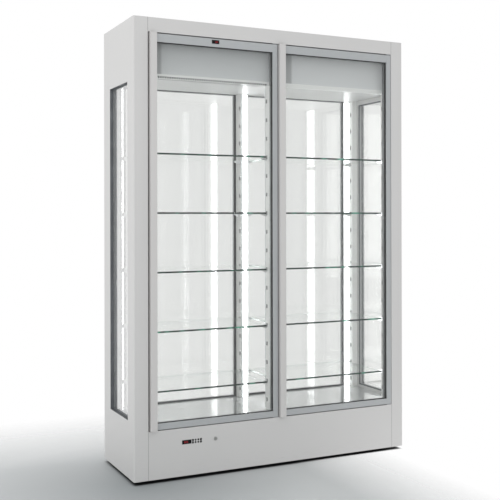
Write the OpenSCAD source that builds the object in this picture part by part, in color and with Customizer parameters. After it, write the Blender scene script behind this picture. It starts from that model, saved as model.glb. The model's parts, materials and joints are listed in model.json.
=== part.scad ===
// Two-door refrigerated glass showcase, free standing, lit by LED uprights.
// Lengths are in millimetres. X runs across the front, Y from front to back, Z up.
// The origin is on the floor, under the middle of the showcase and its door grips.

/* [Case] */
// Width of the case
case_w = 1394; // [1380:2:1420]
// Depth of the case, without the door grips
case_d = 435; // [430:1:450]
// Height of the case above its feet
case_h = 2000; // [1990:1:2040]
// Height of the feet below the case
foot_h = 15; // [12:1:25]
// Front width of a corner post
post_w = 65; // [60:1:70]
// Distance that a front corner post wraps round the side
post_wrap = 55; // [50:1:60]
// Depth of the front posts and the mullion inside the case
post_d = 92; // [88:1:96]
// Thickness of the side panels
side_t = 34; // [30:1:38]
// Wall thickness of the extruded posts and tubes
wall = 1.5; // [1.2:0.1:2]
// Thickness of folded sheet metal
sheet = 1.2; // [1:0.1:1.5]
// Radius of the upright outer corners
corner_r = 6; // [3:1:10]
// Height of the base panel under the doors
base_h = 210; // [205:1:220]
// Height of the front panel over the doors
top_h = 63; // [60:1:70]

/* [Display space] */
// Height of the floor of the display space
floor_z = 237; // [235:1:245]
// Height of the ceiling of the display space
ceiling_z = 1750; // [1740:1:1760]
// Width of the middle mullion and of the middle rear post
mullion_w = 36; // [34:1:40]
// Depth at which the rear glazing begins
rear_y = 408; // [404:1:410]
// Depth at which the rear posts begin
rear_post_y = 358; // [350:1:362]
// Height of the middle of the lowest shelf
first_shelf_z = 368; // [360:1:375]
// Pitch of the slots that carry the shelf brackets
slot_pitch = 87.333; // [84:0.333:88]
// Thickness of a glass shelf
shelf_t = 8; // [6:1:8]
// Depth of a glass shelf
shelf_d = 342; // [330:1:345]
// Distance from the front of the case to the shelves
shelf_y = 50; // [50:1:56]

/* [Doors] */
// Width of one door
door_w = 624; // [620:1:626]
// Gap between the two doors
door_gap = 6; // [5:1:7]
// Thickness of a door
door_t = 28; // [28:1:30]
// Width of the grip at a door's free edge
grip_w = 30; // [28:1:34]
// Distance that the grip stands in front of the case
grip_proud = 16; // [14:1:20]
// Height of the top rail
top_rail_h = 36; // [34:1:40]
// Height of the bottom rail
bottom_rail_h = 27; // [25:1:30]
// Width of the hinge stile
stile_w = 24; // [24:1:28]
// Radius of a hinge pin
pin_r = 4; // [3.5:0.1:4]

/* [Windows] */
// Depth at which a side window begins
window_y = 85; // [80:1:90]
// Depth of a side window's opening
window_d = 256; // [250:1:256]
// Height at which a side window begins
window_z = 250; // [245:1:260]
// Height of a side window's opening
window_h = 1477; // [1400:1:1480]
// Distance that a side window lies behind the outer skin
window_recess = 16; // [14:1:18]

/* [Hidden] */
$fn = 48;
eps = 0.01;

// The case stands with its front face here, so that the grips are inside the overall depth.
front_y = (grip_proud - case_d) / 2;
half_w = case_w / 2;
skin_x = half_w - side_t;           // inner face of a side panel
inner_x = half_w - post_w + 2;      // inner face of a corner post
opening_x = half_w - post_w;        // edge of the door opening
door_back = 45;                     // depth kept free for the doors
rear_t = 24;                        // thickness of the rear frame
rear_end = rear_y + rear_t;
opening_top = case_h - top_h;
rail_h = 27;                        // height of the rails above and below the rear glass
post_top = ceiling_z + rail_h;      // top of the rear posts
half_m = mullion_w / 2;
pane = 4;                           // thickness of one pane of glass
bay_end = inner_x - 1;

// Slots in the uprights: two rows on each inner face, over the height of the display space.
slot_w = 5;
slot_l = 12;
slot_n = 17;
slot_front_y = 79;
slot_rear_y = 374;
slot_z = [for (i = [0:slot_n - 1]) first_shelf_z + (i - 1) * slot_pitch];
shelf_z = [for (i = [0:4]) first_shelf_z + 3 * i * slot_pitch];

// Doors, from left to right, each hinged at its right edge.
door_x = [-half_w + post_w + 7, -half_w + post_w + 7 + door_w + door_gap];
door_z = base_h + 4;
door_top = opening_top - 5;
pin_in = 11;                        // pin axis, from the hinge edge of the door
pin_y = 7;                          // pin axis, behind the front of the door
glass_y = 5;                        // front of the door's double glazing
unit_t = 20;                        // thickness of the door's double glazing
bite = 12;                          // depth of glass held inside the frame
sight = stile_w + 2;                // spacer edge, from the hinge edge

// Shelves end short of the uprights, and brackets bridge the gap.
shelf_outer_x = inner_x - 27;
shelf_inner_x = half_m + 16;

// Everything that the case holds is drawn from its lower front edge.
module in_case() { translate([0, front_y, foot_h]) children(); }
module block(lo, hi) { translate(lo) cube(hi - lo); }
module both_sides() { for (s = [0, 1]) mirror([s, 0, 0]) children(); }

// A ring of rectangular section around an opening that lies across Y.
module ring_y(lo, hi, width) {
    difference() {
        block(lo, hi);
        block(lo + [width, -1, width], hi + [-width, 1, -width]);
    }
}

// A ring of rectangular section around an opening that lies across X.
module ring_x(lo, hi, width) {
    difference() {
        block(lo, hi);
        block(lo + [-1, width, width], hi + [1, -width, -width]);
    }
}

// A tube of rectangular section, open at both ends along the given axis.
module tube(lo, hi, axis, t = wall) {
    cut = [axis == 0 ? -1 : t, axis == 1 ? -1 : t, axis == 2 ? -1 : t];
    difference() {
        block(lo, hi);
        block(lo + cut, hi - cut);
    }
}

// Plan of a plate that fits between the corner posts, drawn in by t all round.
module plan(y0, y1, t, to_rear_posts = false) difference() {
    translate([-skin_x + t, y0 + t]) square([2 * (skin_x - t), y1 - y0 - 2 * t]);
    both_sides() {
        translate([opening_x - t, -1]) square([post_w, door_back + 1 + t]);
        translate([inner_x - t, -1]) square([skin_x - inner_x + t + 1, post_d + 1 + t]);
        if (to_rear_posts) translate([inner_x - t, rear_post_y - t]) square([skin_x - inner_x + t + 1, 200]);
    }
}
module plate(z0, z1, y0, y1, t = 0, to_rear_posts = false)
    translate([0, 0, z0]) linear_extrude(z1 - z0) plan(y0, y1, t, to_rear_posts);

// A row of slots through the face of an upright that looks along X.
module slots(x, y) {
    for (z = slot_z) block([x - 4, y - slot_w / 2, z - slot_l / 2], [x + 4, y + slot_w / 2, z + slot_l / 2]);
}

// A round bar between two points.
module bar(a, b, r) {
    d = b - a;
    l = norm(d);
    translate(a) rotate([0, acos(d[2] / l), atan2(d[1], d[0])]) cylinder(r = r, h = l);
}

// A bent tube: straight lengths joined by round elbows.
module pipe(points, r) {
    for (i = [0:len(points) - 2]) bar(points[i], points[i + 1], r);
    for (i = [1:len(points) - 2]) translate(points[i]) sphere(r = r);
}

// ---- casing ----

foot_x = half_w - 90;
foot_y = [60, case_d - 60];
stud_r = 5;
module base_tray() in_case() color("lightgrey") difference() {
    plate(0, 3, sheet, rear_end);
    for (x = [-foot_x, foot_x], y = foot_y) translate([x, y, -1]) cylinder(r = stud_r + 0.2, h = 5);
    for (i = [0:11]) block([-560 + 36 * i, 120, -1], [-546 + 36 * i, 330, 4]);
}

key_r = 3.2;
key_pitch = 12.7;
key_x = -half_w + 271.5;
panel_z = 148;
key_dz = 5.3;
key_place = [for (c = [0, 3], s = [1, -1]) [key_x + c * key_pitch, panel_z + s * key_dz]];
lamp_place = [for (c = [1, 2], s = [1, -1]) [key_x + c * key_pitch, panel_z + s * key_dz]];
lamp_r = 2;
display_lo = [-half_w + 220, panel_z - 9];
display_hi = [-half_w + 264, panel_z + 9];
switch_x = -half_w + 380;
switch_r = 8.5;

module across(x, z, y0, y1, r) { translate([x, y0, z]) rotate([-90, 0, 0]) cylinder(r = r, h = y1 - y0); }

module base_front_panel() in_case() color("gainsboro") difference() {
    block([-opening_x, 0, 0], [opening_x, door_back, base_h]);
    block([-opening_x - 1, sheet, -1], [opening_x + 1, door_back + 1, base_h - sheet]);
    for (k = key_place) across(k[0], k[1], -1, 3, key_r + 0.3);
    for (k = lamp_place) across(k[0], k[1], -1, 3, lamp_r);
    block([display_lo[0], -1, display_lo[1]], [display_hi[0], 3, display_hi[1]]);
    across(switch_x, panel_z, -1, 3, switch_r + 0.05);
}

module top_front_panel() in_case() color("gainsboro")
    tube([-opening_x, 0, opening_top], [opening_x, door_back, case_h], 0, sheet);

module roof_panel() in_case() color("gainsboro") difference() {
    union() {
        plate(case_h - sheet, case_h, door_back, rear_end);
        block([-skin_x, rear_end - sheet, post_top], [skin_x, rear_end, case_h]);
    }
    for (x = [-480, 240], i = [0:7]) block([x + 30 * i, 180, case_h - 3], [x + 30 * i + 8, 330, case_h + 1]);
}

window_end = window_y + window_d;
window_top = window_z + window_h;
module side_panel() {
    tube([skin_x, post_wrap, 0], [half_w, window_y, case_h], 2);
    tube([skin_x, window_end, 0], [half_w, case_d, case_h], 2);
    tube([skin_x, window_y, window_top], [half_w, window_end, case_h], 1);
    tube([skin_x, window_y, 0], [half_w, window_end, window_z], 1);
}
module left_side_panel() in_case() color("gainsboro") mirror([1, 0, 0]) side_panel();
module right_side_panel() in_case() color("gainsboro") side_panel();

landing = 24;                       // width of the flange that a door's seal closes on
// Outline of a front corner post, thinned by t on every side.
module post_outline(t) {
    translate([opening_x + t, t]) square([post_w - 2 * t - corner_r, door_back - 2 * t]);
    translate([inner_x + t, t]) square([skin_x - inner_x - 2 * t, post_d - 2 * t]);
    translate([inner_x + t, corner_r]) square([half_w - inner_x - 2 * t, post_wrap - corner_r - t]);
    translate([half_w - corner_r, corner_r]) circle(r = corner_r - t);
}
module front_post() {
    difference() {
        linear_extrude(case_h) post_outline(0);
        translate([0, 0, -1]) linear_extrude(case_h + 2) post_outline(wall);
        slots(inner_x, slot_front_y);
    }
    block([inner_x - landing, door_back, floor_z], [inner_x + wall, door_back + wall, ceiling_z - 4]);
}
module front_left_post() in_case() color("whitesmoke") mirror([1, 0, 0]) front_post();
module front_right_post() in_case() color("whitesmoke") front_post();

module center_mullion() in_case() color("whitesmoke") difference() {
    tube([-half_m, door_back, floor_z], [half_m, post_d, opening_top], 2);
    for (x = [-half_m, half_m]) slots(x, slot_front_y);
}

glass_end = inner_x - 23;           // outer edge of a rear glazing unit
glass_start = half_m + 5;
module rear_post() difference() {
    union() {
        block([inner_x, rear_post_y, base_h], [skin_x, rear_end, post_top]);
        block([glass_end, rear_y, base_h], [inner_x + 1, rear_end, post_top]);
    }
    block([inner_x + wall, rear_post_y + wall, base_h - 1], [skin_x - wall, rear_end - wall, case_h]);
    block([glass_end + wall, rear_y + wall, base_h - 1], [skin_x - wall, rear_end - wall, case_h]);
    slots(inner_x, slot_rear_y);
}
module rear_left_post() in_case() color("whitesmoke") mirror([1, 0, 0]) rear_post();
module rear_right_post() in_case() color("whitesmoke") rear_post();

riser_hole = 26;
module rear_center_post() in_case() color("whitesmoke") difference() {
    union() {
        block([-half_m, rear_post_y, floor_z], [half_m, rear_y + 1, post_top]);
        block([-glass_start, rear_y, floor_z], [glass_start, rear_end, post_top]);
    }
    block([-half_m + wall, rear_post_y + wall, floor_z - 1], [half_m - wall, rear_end - wall, case_h]);
    for (x = [-half_m, half_m]) slots(x, slot_rear_y);
}

module rear_glazing_rails() in_case() color("whitesmoke") both_sides() {
    tube([glass_start, rear_y, floor_z - rail_h], [glass_end, rear_end, floor_z], 0);
    tube([glass_start, rear_y, ceiling_z], [glass_end, rear_end, post_top], 0);
}

grille_x = [-440, -60, 320];
module rear_lower_panel() in_case() color("gainsboro") difference() {
    block([-skin_x, rear_end - sheet, 3], [skin_x, rear_end, base_h]);
    for (x = grille_x, z = [40:20:160]) block([x - 130, rear_end - 3, z], [x + 130, rear_end + 1, z + 8]);
    across(-590, 90, rear_end - 3, rear_end + 1, 8.1);
}

module cable_gland() in_case() color("dimgray") difference() {
    union() {
        across(-590, 90, rear_end - 22, rear_end + 3, 8);
        across(-590, 90, rear_end, rear_end + 3, 12);
        across(-590, 90, rear_end - 8, rear_end - sheet, 12);
    }
    across(-590, 90, rear_end - 30, rear_end + 4, 4.2);
}

screw_x = [-640, -320, 0, 320, 640];
module cover_screws() in_case() color("silver") {
    for (x = screw_x, z = [18, base_h - 15]) across(x, z, rear_end, rear_end + 2.5, 4);
    for (x = screw_x, z = [ceiling_z + 60, case_h - 20]) across(x, z, rear_end, rear_end + 2.5, 4);
}

module levelling_feet() in_case() color("black")
    for (x = [-foot_x, foot_x], y = foot_y) translate([x, y, -foot_h]) {
        cylinder(r = 22, h = 6);
        cylinder(r = stud_r, h = foot_h + 22);
        translate([0, 0, foot_h - 4]) cylinder(r = 9, h = 4, $fn = 6);
    }

// ---- fixed glazing ----

glass_x = half_w - window_recess;   // outer face of a side window
module window_glass() {
    for (x = [glass_x - pane, glass_x - 16])
        block([x, window_y + 1, window_z + 1], [x + pane, window_end - 1, window_top - 1]);
}
module left_window_glass() in_case() color("lightcyan", 0.3) mirror([1, 0, 0]) window_glass();
module right_window_glass() in_case() color("lightcyan", 0.3) window_glass();

module rear_glass() {
    for (y = [rear_y, rear_y + 16])
        block([glass_start + 1, y, floor_z + 1], [glass_end - 1, y + pane, ceiling_z - 1]);
}
module rear_left_glass() in_case() color("lightcyan", 0.3) mirror([1, 0, 0]) rear_glass();
module rear_right_glass() in_case() color("lightcyan", 0.3) rear_glass();

module glazing_seals() in_case() color("black") both_sides() {
    ring_x([glass_x - 12, window_y + 1, window_z + 1], [glass_x - pane, window_end - 1, window_top - 1], 12);
    ring_x([glass_x, window_y, window_z], [glass_x + 2.5, window_end, window_top], 5);
    ring_x([glass_x - 18, window_y, window_z], [glass_x - 16, window_end, window_top], 12);
    ring_y([glass_start + 1, rear_y + pane, floor_z + 1], [glass_end - 1, rear_y + 16, ceiling_z - 1], 12);
    ring_y([glass_start, rear_y - 1.5, floor_z], [glass_end, rear_y, ceiling_z], 13);
}

// ---- display space ----

module interior_floor() in_case() color("white") difference() {
    plate(base_h, floor_z, door_back, rear_y, 0, true);
    plate(base_h - 1, floor_z - wall, door_back, rear_y, wall, true);
    translate([-riser_hole / 2, rear_post_y + 8, base_h - 1]) cube([riser_hole, riser_hole, 40]);
}

vent_pitch = 11;
vent_n = 51;
module ceiling_panel() difference() {
    plate(ceiling_z, ceiling_z + wall, door_back + wall + 1, rear_y - 2, 0.5, true);
    block([-half_w, 0, ceiling_z - 1], [0.5, case_d, ceiling_z + 3]);
    block([0, 0, ceiling_z - 1], [half_m + 0.5, post_d + 0.5, ceiling_z + 3]);
    block([0, rear_post_y - 0.5, ceiling_z - 1], [half_m + 0.5, case_d, ceiling_z + 3]);
}
module ceiling_panels() in_case() color("whitesmoke") {
    difference() {
        mirror([1, 0, 0]) ceiling_panel();
        for (i = [0:vent_n - 1]) translate([-bay_end + 30 + i * vent_pitch, 0, ceiling_z]) {
            block([-4, 85, -1], [4, 111, wall + 1]);
            for (y = [208, 279]) translate([0, y, -1]) cylinder(r = 3, h = wall + 2, $fn = 16);
        }
    }
    ceiling_panel();
}

module header_fascias() in_case() color("silver") both_sides() {
    block([half_m + 1, door_back, ceiling_z - 4], [bay_end, door_back + wall, opening_top]);
    block([half_m + 1, door_back, ceiling_z - 4], [bay_end, door_back + 14, ceiling_z - 2]);
}

led_z0 = floor_z + 2;
led_z1 = ceiling_z - 5;
led_leg = 24;
led_lens = 3.5;                     // depth of a diffuser, along the legs of the corner
led_run = 25;
led_front = [[inner_x, door_back + wall], [0, led_run]];
led_rear = [[inner_x, rear_y - 1.5], [0, -led_run]];
module led_corner(at, run, part) translate([0, 0, led_z0]) linear_extrude(led_z1 - led_z0)
    if (part == "channel") polygon([at, at - [led_leg - led_lens, 0], at + run * (1 - led_lens / led_run)]);
    else polygon([at - [led_leg, 0], at + run, at + run * (1 - led_lens / led_run),
        at - [led_leg - led_lens, 0]]);
module led_channels() in_case() color("lightgrey") {
    both_sides() {
        led_corner(led_front[0], led_front[1], "channel");
        led_corner(led_rear[0], led_rear[1], "channel");
    }
    block([-half_m, post_d, led_z0], [half_m, post_d + 5, led_z1]);
    block([-half_m, rear_post_y - 5, led_z0], [half_m, rear_post_y, led_z1]);
}
module led_diffusers() in_case() color("white") {
    both_sides() {
        led_corner(led_front[0], led_front[1], "lens");
        led_corner(led_rear[0], led_rear[1], "lens");
    }
    block([-half_m + 1, post_d + 5, led_z0], [half_m - 1, post_d + 8, led_z1]);
    block([-half_m + 1, rear_post_y - 8, led_z0], [half_m - 1, rear_post_y - 5, led_z1]);
}

module shelves() for (z = shelf_z)
    block([shelf_inner_x, shelf_y, z - shelf_t / 2], [shelf_outer_x, shelf_y + shelf_d, z + shelf_t / 2]);
module left_shelves() in_case() color("mediumaquamarine", 0.4) mirror([1, 0, 0]) shelves();
module right_shelves() in_case() color("mediumaquamarine", 0.4) shelves();

// A bracket hooks into a slot, crosses the gap beside the glass and reaches under its edge.
hook = 6;
reach = 14;
blade_t = 4;
module bracket(gap) {
    tip = gap + reach;
    step = gap - 3;
    under = -shelf_t / 2;
    rotate([90, 0, 0]) translate([0, 0, -blade_t / 2]) linear_extrude(blade_t)
        polygon([[-hook, -5], [-hook, 5], [step, 5], [step, under], [tip, under], [tip, under - 3],
            [step, under - 10], [0.5, under - 10], [0.5, -5]]);
    block([step, -5, under - 2], [tip, 5, under]);
}
module shelf_brackets() in_case() color("silver") both_sides()
    for (z = shelf_z, y = [slot_front_y, slot_rear_y]) {
        translate([half_m, y, z]) bracket(shelf_inner_x - half_m);
        translate([inner_x, y, z]) mirror([1, 0, 0]) bracket(inner_x - shelf_outer_x);
    }

// ---- cooling unit in the header ----

evap_x = [-600, -60];
fan_z = ceiling_z + 82;
fan_x = [-460, -200];
// Fins on straight tubes between two end plates. The tubes run along Z here.
module coil(w, d, l, pitch, rows, columns, r) {
    for (z = [0, l - wall]) translate([0, 0, z]) cube([w, d, wall]);
    for (z = [pitch : pitch : l - pitch]) translate([1, 1, z]) cube([w - 2, d - 2, 1]);
    for (x = rows, y = columns) translate([x, y, -6]) cylinder(r = r, h = l + 12);
}
module evaporator_coil() in_case() color("lightsteelblue")
    translate([evap_x[0] + 10, 205, ceiling_z + 140]) rotate([0, 90, 0])
        coil(120, 150, 512, 17, [25, 60, 95], [25, 75, 125], 5);
module evaporator_tray() in_case() color("silver") {
    difference() {
        block([evap_x[0], 120, ceiling_z + wall], [evap_x[1], 380, ceiling_z + 18]);
        block([evap_x[0] + wall, 120 + wall, ceiling_z + 2 * wall],
            [evap_x[1] - wall, 380 - wall, ceiling_z + 30]);
    }
    difference() {
        block([evap_x[0] + 4, 190, ceiling_z + 2 * wall], [evap_x[1] - 4, 192, ceiling_z + 160]);
        for (x = fan_x) across(x, fan_z, 180, 200, 57);
    }
    for (x = fan_x) {
        across(x, fan_z, 126, 150, 22);
        across(x, fan_z, 149, 176, 3);
        for (s = [-1, 1]) {
            block([x + s * 66 - 4, 138, fan_z - 5], [x + s * 66 + 4, 191, fan_z + 5]);
            block([x + s * 45 - 25, 138, fan_z - 5], [x + s * 45 + 25, 142, fan_z + 5]);
        }
    }
}

// An axial fan that turns about Z, with a bored hub.
module fan_wheel(r, hub, bore, h, blades) difference() {
    union() {
        cylinder(r = hub, h = h);
        intersection() {
            for (i = [0:blades - 1]) rotate([0, 0, i * 360 / blades]) translate([hub - 2, 0, h / 2])
                rotate([28, 0, 0]) translate([0, -r * 0.28, -0.8]) cube([r, r * 0.56, 1.6]);
            cylinder(r = r, h = h);
        }
    }
    translate([0, 0, -1]) cylinder(r = bore, h = h + 2);
}
module evaporator_fan(x) in_case() color("black")
    translate([x, 176, fan_z]) rotate([90, 0, 0]) fan_wheel(52, 16, 3.05, 20, 5);
module evaporator_fan_left() evaporator_fan(fan_x[0]);
module evaporator_fan_right() evaporator_fan(fan_x[1]);

module led_driver() in_case() color("silver") {
    block([200, 200, ceiling_z + wall], [420, 262, ceiling_z + 44]);
    for (x = [186, 420]) block([x, 212, ceiling_z + wall], [x + 14, 250, ceiling_z + 5]);
}

// ---- condensing unit in the base ----

comp = [400, 235];
comp_r = 78;
module compressor() in_case() color("#202225") translate([comp[0], comp[1], 3]) {
    block([-105, -90, 12], [105, 90, 15]);
    for (x = [-90, 90], y = [-75, 75]) translate([x, y, 0]) cylinder(r = 11, h = 12);
    translate([0, 0, 15]) rotate_extrude($fn = 64)
        intersection() {
            union() {
                translate([0, 40]) square([comp_r, 75]);
                translate([comp_r - 40, 40]) circle(r = 40);
                translate([comp_r - 40, 115]) circle(r = 40);
                square([comp_r - 40, 155]);
            }
            square([comp_r, 155]);
        }
    block([-30, -100, 60], [30, -comp_r + 4, 110]);
    translate([-40, 40, 147]) rotate([-90, 0, 0]) cylinder(r = suction_r + 2, h = 32);
    translate([-60, -58, 137]) rotate([-90, 0, 0]) cylinder(r = liquid_r + 2, h = 20);
}

cond_x = 60;
cond_y = [80, 380];
module condenser_coil() in_case() color("dimgray") {
    translate([cond_x, cond_y[1], 14]) rotate([90, 0, 0])
        coil(50, 178, cond_y[1] - cond_y[0], 12.5, [14, 36], [24, 57, 90, 123, 156], 4);
    for (y = cond_y + [40, -60]) translate([cond_x + 5, y, 3]) cube([40, 20, 13]);
}

wheel_z = 102;
wheel_y = 230;
module fan_shroud() in_case() color("silver") {
    difference() {
        block([cond_x + 54, cond_y[0], 3], [cond_x + 56, cond_y[1], 196]);
        translate([cond_x, wheel_y, wheel_z]) rotate([0, 90, 0]) cylinder(r = 86, h = 100);
    }
    translate([cond_x + 92, wheel_y, wheel_z]) rotate([0, 90, 0]) cylinder(r = 30, h = 36);
    bar([cond_x + 62, wheel_y, wheel_z], [cond_x + 93, wheel_y, wheel_z], 4);
    for (s = [-1, 1]) translate([cond_x, wheel_y + s * 60, wheel_z - 6]) {
        translate([92, -38, 0]) cube([3, 76, 12]);
        translate([55, s * 38 - 3, 0]) cube([40, 6, 12]);
    }
}
module condenser_fan() in_case() color("black")
    translate([cond_x + 60, wheel_y, wheel_z]) rotate([0, 90, 0]) fan_wheel(80, 26, 4.05, 26, 5);

riser_x = [-6, 7];
riser_y = rear_post_y + 20;
suction_r = 5;
liquid_r = 3;
coil_x = -60;
module refrigerant_pipes() in_case() color("peru") {
    pipe([[comp[0] - 40, comp[1] + 72, 150], [comp[0] - 40, 400, 150], [riser_x[0], 400, 150],
        [riser_x[0], riser_y, 150], [riser_x[0], riser_y, 1874], [coil_x, riser_y, 1874],
        [coil_x, 330, 1874]], suction_r);
    pipe([[cond_x + 14, cond_y[1] + 6.5, 38], [cond_x + 14, 404, 38], [riser_x[1], 404, 38],
        [riser_x[1], riser_y, 38], [riser_x[1], riser_y, 1850], [riser_x[1], 345, 1850],
        [coil_x, 345, 1850], [coil_x, 300, 1850]], liquid_r);
    pipe([[comp[0] - 60, comp[1] - 58, 140], [comp[0] - 60, 66, 140], [cond_x + 36, 66, 140],
        [cond_x + 36, 66, 137], [cond_x + 36, cond_y[0] - 6.5, 137]], liquid_r);
}

// ---- controls ----

module controller() in_case() color("black") {
    block([display_lo[0] - 2, 10, panel_z - 18], [key_x + 3 * key_pitch + 8, 34, panel_z + 18]);
    block([display_lo[0], -0.8, display_lo[1]], [display_hi[0], 10 + eps, display_hi[1]]);
    for (k = lamp_place) across(k[0], k[1], -0.4, 10 + eps, lamp_r);
}
module controller_key(i) in_case() color("black") {
    across(key_place[i][0], key_place[i][1], -1.5, 6, key_r);
    across(key_place[i][0], key_place[i][1], 4, 6, key_r + 1);
}
module controller_key_1() controller_key(0);
module controller_key_2() controller_key(1);
module controller_key_3() controller_key(2);
module controller_key_4() controller_key(3);
module key_switch() in_case() color("silver") difference() {
    union() {
        across(switch_x, panel_z, -2, 24, switch_r);
        block([switch_x - 5, 24 - eps, panel_z - 3], [switch_x + 16, 26, panel_z + 3]);
    }
    block([switch_x - 0.8, -3, panel_z - 4.5], [switch_x + 0.8, 6, panel_z + 4.5]);
}

// ---- doors ----

groove_w = 9;                       // width of the finger groove
groove_in = 12;                     // depth of the finger groove
module door_grip(x0) in_case() color("whitesmoke") difference() {
    block([x0, -grip_proud, door_z - 2], [x0 + grip_w, door_t, door_top + 3]);
    translate([x0 + grip_w - groove_in, 5 - grip_proud, 0]) cube([groove_in + 1, groove_w, case_h]);
    block([x0 + wall, -grip_proud + wall, 0], [x0 + grip_w - groove_in - wall, door_t - wall, case_h]);
    block([x0 + grip_w - bite, glass_y - 0.2, 0], [x0 + grip_w + 1, glass_y + unit_t + 0.2, case_h]);
}

// Frame members are U sections that grip the edge of the glass and meet at fine joints.
joint = 0.2;
module door_frame(x0) in_case() color("silver") {
    x1 = x0 + door_w;
    y0 = glass_y - 0.2;
    y1 = glass_y + unit_t + 0.2;
    difference() {
        block([x1 - stile_w, 0, door_z], [x1, door_t, door_top]);
        block([x1 - stile_w - 1, y0, door_z + 13], [x1 - 3, y1, door_top - 20]);
        translate([x1 - pin_in, pin_y, door_z - 1]) cylinder(r = pin_r, h = 13);
        translate([x1 - pin_in, pin_y, door_top - 12]) cylinder(r = pin_r, h = 13);
    }
    difference() {
        block([x0 + grip_w, 0, door_z], [x1 - stile_w - joint, door_t, door_z + bottom_rail_h]);
        block([x0, y0, door_z + 3], [x1, y1, door_z + bottom_rail_h + 1]);
    }
    difference() {
        block([x0 + grip_w, 0, door_top - top_rail_h], [x1 - stile_w - joint, door_t, door_top]);
        block([x0, y0, door_top - top_rail_h - 1], [x1, y1, door_top - 3]);
        if (x0 < -100) block([thermo_x - 16, -1, thermo_z - 7], [thermo_x + 16, y0 + 1, thermo_z + 7]);
    }
}
thermo_x = door_x[0] + door_w / 2;
thermo_z = door_top - 14;
module door_thermometer() in_case() color("black") {
    block([thermo_x - 18, -1, thermo_z - 8.5], [thermo_x + 18, 0, thermo_z + 8.5]);
    block([thermo_x - 16, -eps, thermo_z - 7], [thermo_x + 16, 18, thermo_z + 7]);
}

glass_z0 = door_z + bottom_rail_h - bite;
glass_z1 = door_top - top_rail_h + 10;
module door_glass(x0) in_case() color("lightcyan", 0.3)
    for (y = [glass_y, glass_y + unit_t - pane])
        block([x0 + grip_w - bite + 1, y, glass_z0], [x0 + door_w - stile_w + bite, y + pane, glass_z1]);
module door_spacer(x0) in_case() color("black")
    difference() {
        block([x0 + grip_w - bite + 1, glass_y + pane, glass_z0],
            [x0 + door_w - stile_w + bite, glass_y + unit_t - pane, glass_z1]);
        block([x0 + grip_w + 2, 0, door_z + bottom_rail_h + 2],
            [x0 + door_w - sight, door_t, door_top - top_rail_h - 2]);
    }
seal_w = 11;
seal_back = door_back - 0.3;
module door_seal(x0) in_case() color("black") difference() {
    lo = [x0 + 2, door_t, door_z + 12];
    hi = [x0 + door_w - 8, seal_back, door_top - 12];
    block(lo, hi);
    block(lo + [seal_w, -1, seal_w], hi + [-seal_w, 1, -seal_w]);
}
module door_pins(x0) in_case() color("silver") translate([x0 + door_w - pin_in, pin_y, 0]) {
    translate([0, 0, base_h + 0.5]) cylinder(r = pin_r, h = 15);
    translate([0, 0, opening_top - 16.5]) cylinder(r = pin_r, h = 16);
}
module left_door_grip() door_grip(door_x[0]);
module left_door_frame() door_frame(door_x[0]);
module left_door_glass() door_glass(door_x[0]);
module left_door_spacer() door_spacer(door_x[0]);
module left_door_seal() door_seal(door_x[0]);
module left_door_pins() door_pins(door_x[0]);
module right_door_grip() door_grip(door_x[1]);
module right_door_frame() door_frame(door_x[1]);
module right_door_glass() door_glass(door_x[1]);
module right_door_spacer() door_spacer(door_x[1]);
module right_door_seal() door_seal(door_x[1]);
module right_door_pins() door_pins(door_x[1]);

module hinge_brackets() in_case() color("silver")
    for (x0 = door_x, z = [base_h, opening_top - 3]) difference() {
        block([x0 + door_w - pin_in - 14, 0.5, z], [x0 + door_w - pin_in + 13, 24, z + 3]);
        translate([x0 + door_w - pin_in, pin_y, z - 1]) cylinder(r = pin_r + 0.05, h = 5);
    }

base_tray();
base_front_panel();
top_front_panel();
roof_panel();
left_side_panel();
right_side_panel();
front_left_post();
front_right_post();
center_mullion();
rear_left_post();
rear_center_post();
rear_right_post();
rear_glazing_rails();
rear_lower_panel();
left_window_glass();
right_window_glass();
glazing_seals();
rear_left_glass();
rear_right_glass();
interior_floor();
ceiling_panels();
header_fascias();
evaporator_coil();
evaporator_tray();
evaporator_fan_left();
evaporator_fan_right();
led_driver();
compressor();
condenser_coil();
fan_shroud();
condenser_fan();
refrigerant_pipes();
controller();
controller_key_1();
controller_key_2();
controller_key_3();
controller_key_4();
key_switch();
left_door_grip();
left_door_frame();
left_door_glass();
left_door_spacer();
left_door_seal();
left_door_pins();
right_door_grip();
right_door_frame();
right_door_glass();
right_door_spacer();
right_door_seal();
right_door_pins();
hinge_brackets();
door_thermometer();
left_shelves();
right_shelves();
shelf_brackets();
led_channels();
led_diffusers();
levelling_feet();
cable_gland();
cover_screws();
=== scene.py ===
import json
import math

import bmesh
import bpy
from mathutils import Matrix, Vector

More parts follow.
